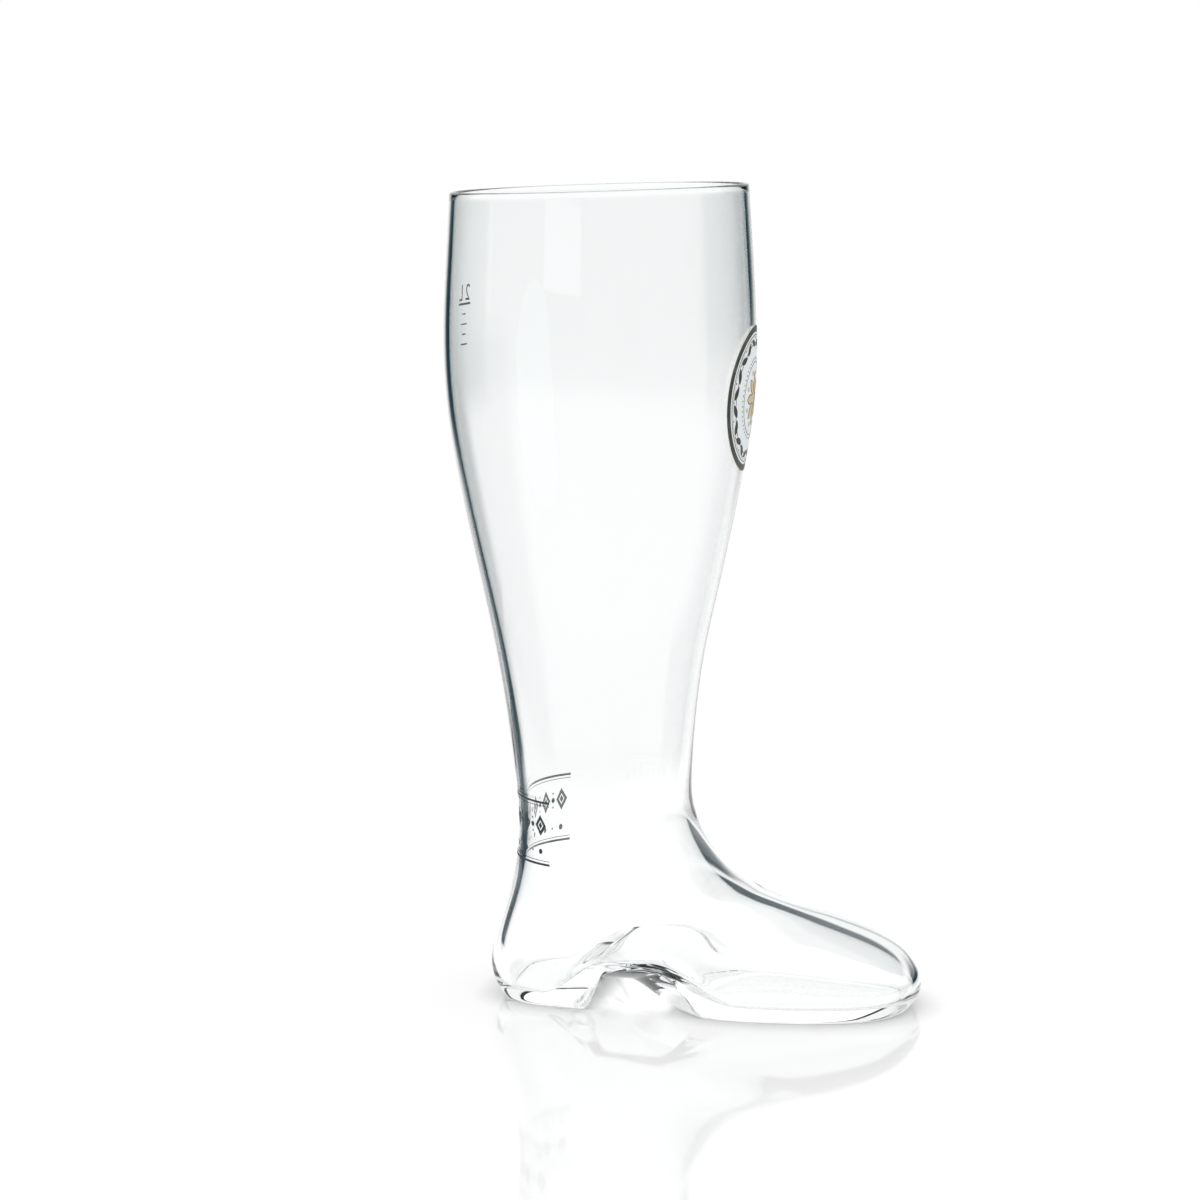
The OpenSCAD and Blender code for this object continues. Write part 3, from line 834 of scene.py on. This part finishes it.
def wreath_pattern(tree, badge_d, ring_w, leaf_count, leaf_l, leaf_w,
                   petal_count, petal_l, petal_w):
    """Ring, wreath and a beaded circle, and an outline under each petal."""
    r = badge_d / 2
    middle = r - 1.6 * leaf_w
    edges = ((r / (r + ring_w), r + ring_w), (0.988, r * 0.965), (0.985, middle),
             (0.98, r * 0.56))
    rims = [polar(tree, inner, outer, 1, RING_SPOKES) for inner, outer in edges]
    leaves = ring_of(tree, leaf(tree, leaf_l, leaf_w), leaf_count, middle, 0.5,
                     math.radians(24), True)
    berries = ring_of(tree, disc(tree, leaf_w * 0.16, 1, 12), leaf_count, middle + leaf_w * 0.7)
    beads = ring_of(tree, disc(tree, leaf_w * 0.14, 1, 12), 48, r * 0.61)
    outlines = ring_of(tree, leaf(tree, petal_l * 1.1, petal_w * 1.26), petal_count,
                       petal_l * 0.75)
    return tree.join(*rims, leaves, berries, beads, outlines)


def flower_pattern(tree, badge_d, ring_w, petal_count, petal_l, petal_w):
    """Petals with beads between them, and fine lines along both edges of the ring."""
    r = badge_d / 2
    radii = (r * 0.93, r + ring_w + 0.2 * MM)
    lines = [polar(tree, 0.994, outer, 1, RING_SPOKES) for outer in radii]
    petals = ring_of(tree, leaf(tree, petal_l, petal_w), petal_count, petal_l * 0.75)
    beads = ring_of(tree, disc(tree, petal_w * 0.3, 2, 20), petal_count, petal_l * 1.3, 0.5)
    heart = disc(tree, petal_w * 0.36, 2, 24)
    return tree.join(*lines, petals, beads, heart)


def fill_pattern(tree, fill_l, numeral_h, stroke_w):
    """Line, plain capacity over it and short graduations under it."""
    line = bar(tree, fill_l, stroke_w, 14)
    text = tree.node("GeometryNodeStringToCurves", CAPACITY, numeral_h * FONT_PER_NUMERAL,
                     align_x="CENTER", align_y="BOTTOM_BASELINE",
                     font=bpy.data.fonts.load("<builtin>"), out="Curve Instances")
    glyphs = tree.node("GeometryNodeFillCurve", tree.node("GeometryNodeRealizeInstances", text))
    parts = [line, tree.raised(glyphs, stroke_w * 1.6)]
    for k in range(1, 5):
        tick = bar(tree, fill_l * (0.5 if k % 2 == 0 else 0.3), stroke_w * 0.6, 5)
        parts.append(tree.raised(tick, numeral_h * (-0.6 * k)))
    return tree.join(*parts)


def band_pattern(tree, band_w, band_l, lozenge_count, lozenge_w, stroke_w):
    """Two lines with a row of lozenges and dots between them. Its middle is the lower line's."""
    pitch = band_l / lozenge_count
    tall = lozenge_w * 0.67
    height = band_w * 0.62
    foot = band_w * 0.2
    inset, fine = stroke_w * 1.6, stroke_w * 0.3
    parts = [bar(tree, band_l, stroke_w, 60)]
    for y, width in ((band_w, stroke_w), (inset, fine), (band_w - inset, fine)):
        parts.append(tree.raised(bar(tree, band_l, width, 60), y))
    for inner, size in ((0.52, 1.0), (0.0, 0.34)):
        lozenge = polar(tree, inner, tall * size, 2, 16, lozenge_w * 0.5 * size)
        parts.append(in_row(tree, lozenge, lozenge_count, pitch, height))
    dot = disc(tree, stroke_w * 1.2, 2, 16)
    small = disc(tree, stroke_w * 0.5, 1, 10)
    parts.append(in_row(tree, dot, lozenge_count, pitch, foot))
    parts.append(in_row(tree, dot, lozenge_count - 1, pitch, height))
    for y in (height - tall * 0.62, height + tall * 0.62, foot):
        parts.append(in_row(tree, small, lozenge_count - 1, pitch, y))
    return tree.join(*parts)


# Pieces


class BOOT_OT_glass(bpy.types.Operator):
    """Build the glass as one closed skin, outside and inside, with a rounded lip"""
    bl_idname = "boot.glass"
    bl_label = "Glass"

    def execute(self, context):
        rows, middle = glass_rows()
        points = [(0, 0, k * MM) for k in range(len(rows))]
        net = point_mesh("boot_rows", points, [
            ("front", "FLOAT_VECTOR", rows[:, [0, 1, 4]]),
            ("back", "FLOAT_VECTOR", rows[:, [2, 3, 5]]),
            ("form", "FLOAT_VECTOR", rows[:, 7:10]),
            ("low", "FLOAT", rows[:, 6]),
        ])
        values = {"Rows": len(rows), "Points Round": sizes().round_points, "Middle": middle,
                  "Material": glass_material()}
        glass = run_tree("boot_body", net, loft_tree(), values)
        face_outwards(glass.data)
        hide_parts("glass_boot")
        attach(glass, "root")
        return {"FINISHED"}


def lay_print(node, tree, material, place, layer=0):
    """Makes one print and puts it in place of its node. Place is its turn, its height and the
    leg's radius there. Layer counts the inks under it."""
    p = prints()
    name = node + "_print"
    turn, height, radius = place
    values = {"Glass": bpy.data.objects["boot_body"], "Turn": turn, "Height": height,
              "Radius": radius, "Middle": glass_rows()[1], "Lift": p.lift + layer * p.ink,
              "Material": material}
    piece = run_tree(name, point_mesh(name + "_seed", [(0, 0, 0)]), tree, values)
    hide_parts(node)
    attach(piece, "root")


class BOOT_OT_badge(bpy.types.Operator):
    """Print the badge: pale ground, dark ring and wreath, gold flower"""
    bl_idname = "boot.badge"
    bl_label = "Badge"

    def execute(self, context):
        p, c = prints(), colours()
        place = (p.badge_turn, p.badge_h, sizes().calf_d / 2)
        dull = mix(np.array(c.green), np.array(c.pale), 0.25)
        # The pale ground and the green ring get a painted glow on their backs, seen through the
        # glass and in mirror images
        pale = enamel_material("Pale_Enamel", c.pale, np.array(c.pale) * 0.9,
                               (c.pale, 0.55, 0.95))
        green = enamel_material("Green_Enamel", c.green, dull, ((1, 1, 1), 0.0, 0.8))
        gold = enamel_material("Gold_Enamel", c.gold, np.array(c.gold) * 0.75)
        petal_sizes = ["petal_count", "petal_l", "petal_w"]
        ground = print_tree("Badge Ground", ["badge_d"], ground_pattern)
        wreath = print_tree("Badge Wreath", ["badge_d", "ring_w", "leaf_count", "leaf_l",
                                             "leaf_w", *petal_sizes], wreath_pattern)
        flower = print_tree("Badge Flower", ["badge_d", "ring_w", *petal_sizes], flower_pattern)
        lay_print("badge_ground", ground, pale, place)
        lay_print("badge_wreath", wreath, green, place, layer=1.2)
        lay_print("badge_flower", flower, gold, place, layer=2.4)
        return {"FINISHED"}


class BOOT_OT_fill_mark(bpy.types.Operator):
    """Print the fill line with its plain capacity and graduations"""
    bl_idname = "boot.fill_mark"
    bl_label = "Fill Mark"

    def execute(self, context):
        p, c = prints(), colours()
        material = enamel_material("Grey_Enamel", c.slate, np.array(c.slate) + 0.08)
        tree = print_tree("Fill Mark", ["fill_l", "numeral_h", "stroke_w"], fill_pattern)
        lay_print("fill_mark", tree, material,
                  (p.fill_turn, p.fill_h, sizes().calf_d / 2))
        return {"FINISHED"}


class BOOT_OT_ankle_band(bpy.types.Operator):
    """Print the band of lozenges round the back of the ankle"""
    bl_idname = "boot.ankle_band"
    bl_label = "Ankle Band"

    def execute(self, context):
        p, c = prints(), colours()
        material = enamel_material("Slate_Enamel", c.slate, np.array(c.slate) + 0.05)
        tree = print_tree("Ankle Band", ["band_w", "band_l", "lozenge_count", "lozenge_w",
                                         "stroke_w"], band_pattern)
        lay_print("ankle_band", tree, material,
                  (p.band_turn, p.band_h, sizes().ankle_d / 2))
        return {"FINISHED"}


# Stage


def ray_facts(tree):
    """How a ray reached a surface: from the camera, through glass, as a mirror image, and how
    often it passed glass on its way."""
    node = tree.node("ShaderNodeLightPath").socket.node
    names = ("Is Camera Ray", "Is Transmission Ray", "Glossy Depth", "Transmission Depth",
             "Diffuse Depth")
    camera, through, mirrored, passed, spread = [Wire(tree, node.outputs[name]) for name in names]
    mirrored = mirrored.math("MINIMUM", 1.0) * (1 - spread.math("MINIMUM", 1.0))
    return camera, through, mirrored, passed


def round_angle(tree, x, y):
    """Degrees round the stage, from the back towards the toe's side."""
    return x.math("ARCTAN2", y) * (180 / math.pi)


def patch(tree, across, up, limits):
    """1 in a patch of two windows, and 0 round it."""
    return tree.window(across, *limits[0]) * tree.window(up, *limits[1])


def build_world():
    """A white room with one wide soft light in front and dark flags at the sides of the mirror
    images. What is thrown back inside the glass shows a dim wall, so that the glass draws its
    edges dark."""
    world = bpy.data.worlds.new("Studio")
    bpy.context.scene.world = world
    world.use_nodes = True
    world.node_tree.nodes.clear()
    tree = Tree(world.node_tree)
    x, y, z = tree.split_xyz(tree.node("ShaderNodeTexCoord", out="Generated"))
    side = round_angle(tree, x, y)
    _, through, mirrored, passed = ray_facts(tree)
    entered = mirrored * passed.math("MINIMUM", 1.0)
    once, twice = passed.math("COMPARE", 2.0, 1.1), passed.math("COMPARE", 4.0, 3.1)
    inside = mirrored * (0.75 * once + 0.25 * twice)

    light = patch(tree, side, z, SOFT_LIGHT)
    left = patch(tree, side, z, LEFT_FLAG).math("MAXIMUM", patch(tree, side, z, LEFT_WING))
    right = patch(tree, side, z, RIGHT_FLAG)
    wall = tree.window(z, *LOW_WALL).math("MAXIMUM", tree.window(z, *HIGH_WALL))
    wall = wall * (1 - tree.window(side, *WALL_GAP) * tree.rise(z, -0.06, 0.08))
    backdrop = tree.window(side, *BACKDROP_SIDES[0]) * tree.window(side, *BACKDROP_SIDES[1])
    backdrop = backdrop * tree.window(z, *BACKDROP_HEIGHTS)
    outer = (mirrored - entered) * (1 - tree.rise(z, 0.04, 0.06))
    flags = FLAG_DEPTH * left.math("MAXIMUM", right) * (entered + outer)

    level = 1.0 + SOFT_LIGHT_LEVEL * light * (mirrored - entered)
    level = level * (1 - flags) * (1 - WALL_DEPTH * wall * inside * (1 - backdrop))
    level = level * (1 - GLASS_DIMNESS * through * tree.rise(z, -0.12, 0.1))
    level = level + 0.01 * through * tree.ease((-0.05 - z) / 0.1)
    dark = (1 - level).math("MAXIMUM", 0.0)
    shade = tree.node("ShaderNodeCombineColor", level * (1 - 0.006 * through),
                      *[level + tint * dark for tint in DARK_TINT])
    output = tree.nodes.new("ShaderNodeOutputWorld")
    tree.put(output.inputs["Surface"], tree.node("ShaderNodeBackground", shade))


def floor_material():
    """White floor with a soft mirror image. Its painted light: a patch under the arch of the foot
    glows brighter and takes out the glass's shadow there, and seen through the glass it glows
    brighter
    near the glass. Its painted shade: a contact shade near the glass, seen from the camera. It
    goes over into plain white towards its edge, and a painted dark flag, seen only in mirror
    images, is on it too."""
    material, tree = new_material("Studio_Floor")
    camera, through, mirrored, _ = ray_facts(tree)
    seen = camera.math("MAXIMUM", mirrored).math("MAXIMUM", through)
    x, y, _ = tree.split_xyz(tree.node("ShaderNodeTexCoord", out="Object"))
    away = (x * x + y * y).math("SQRT")
    # Painted dark flag: a dark patch on the floor, seen only in mirror images, standing in for the
    # left flag
    painted_flag = tree.window(round_angle(tree, x, y), *PAINTED_FLOOR_FLAG)
    painted_flag = painted_flag * tree.rise(away, 0.31, 0.07) * mirrored
    # Painted contact shade: where ambient occlusion finds the glass close, the floor's glow is
    # taken down for the camera
    painted_contact_shade = 1 - tree.node("ShaderNodeAmbientOcclusion", out="AO", named={"Distance": CONTACT_REACH})
    # Painted light: a patch under the arch glows brighter, taking out the glass's shadow there
    painted_arch_light = patch(tree, x, y, PAINTED_ARCH_LIGHT)
    glow = seen * (0.34 + 0.3 * painted_arch_light) * (1 - 0.9 * painted_contact_shade * camera * (1 - painted_arch_light))
    # Painted light: seen through the glass, the floor glows brighter, most near the glass, over
    # its shadow
    glow = glow + through * (0.22 - 0.10 * tree.rise(away, 0.10, 0.08))
    node = shader(tree, (*colours().floor, 1), Roughness=0.06, IOR=1.4,
                  Emission_Color=(1, 1, 1, 1), Emission_Strength=glow)
    # Colour of the painted dark flag, drawn with the plain white towards the floor's edge
    tint = tree.node("ShaderNodeCombineColor", *[1 - depth * painted_flag for depth in PAINTED_FLOOR_FLAG_DEPTHS])
    plain = tree.node("ShaderNodeEmission", tint)
    share = tree.rise(away, 0.25, 0.2).math("MAXIMUM", painted_flag)
    output = node.outputs["BSDF"].links[0].to_node
    blend = tree.node("ShaderNodeMixShader", share, node.outputs["BSDF"], plain)
    tree.put(output.inputs["Surface"], blend)
    return material


class BOOT_OT_stage(bpy.types.Operator):
    """Set up the white floor, the soft light and the camera"""
    bl_idname = "boot.stage"
    bl_label = "Stage"

    def execute(self, context):
        scene = context.scene
        scene.view_settings.view_transform = "Standard"
        bpy.ops.mesh.primitive_circle_add(radius=FLOOR_RADIUS, vertices=96, fill_type="TRIFAN")
        floor = context.object
        floor.name = "studio_floor"
        floor.data.materials.append(floor_material())
        build_world()

        light = bpy.data.lights.new("softbox", "AREA")
        light.shape = "RECTANGLE"
        light.size, light.size_y = SOFTBOX_SIZE
        light.energy = SOFTBOX_POWER
        lamp = bpy.data.objects.new("softbox", light)
        lamp.location = SOFTBOX_PLACE
        aim = Vector(SOFTBOX_AIM) - lamp.location
        lamp.rotation_euler = aim.to_track_quat("-Z", "Y").to_euler()
        lamp.visible_glossy = lamp.visible_transmission = False
        scene.collection.objects.link(lamp)

        camera_data = bpy.data.cameras.new("camera")
        camera_data.lens = CAMERA_LENS
        camera_data.sensor_width = CAMERA_SENSOR
        camera = bpy.data.objects.new("camera", camera_data)
        camera.location = CAMERA_PLACE
        camera.rotation_euler = [math.radians(degrees) for degrees in CAMERA_ANGLES]
        scene.collection.objects.link(camera)
        scene.camera = camera
        return {"FINISHED"}


class BOOT_PT_panel(bpy.types.Panel):
    """Sidebar panel with a button for each step"""
    bl_idname = "BOOT_PT_panel"
    bl_label = "Boot Glass"
    bl_space_type = "VIEW_3D"
    bl_region_type = "UI"
    bl_category = "Boot Glass"

    def draw(self, context):
        for operator in STEPS:
            self.layout.operator(operator.bl_idname)


STEPS = (BOOT_OT_glass, BOOT_OT_badge, BOOT_OT_fill_mark, BOOT_OT_ankle_band, BOOT_OT_stage)
CLASSES = (BootSizes, PrintSizes, BootColours, *STEPS, BOOT_PT_panel)


def register():
    for item in CLASSES:
        bpy.utils.register_class(item)
    bpy.types.Scene.boot_sizes = PointerProperty(type=BootSizes)
    bpy.types.Scene.boot_prints = PointerProperty(type=PrintSizes)
    bpy.types.Scene.boot_colours = PointerProperty(type=BootColours)


def unregister():
    del bpy.types.Scene.boot_sizes
    del bpy.types.Scene.boot_prints
    del bpy.types.Scene.boot_colours
    for item in reversed(CLASSES):
        bpy.utils.unregister_class(item)


def main():
    register()
    for operator in STEPS:
        getattr(bpy.ops.boot, operator.bl_idname.split(".")[1])()


if __name__ == "__main__":
    main()
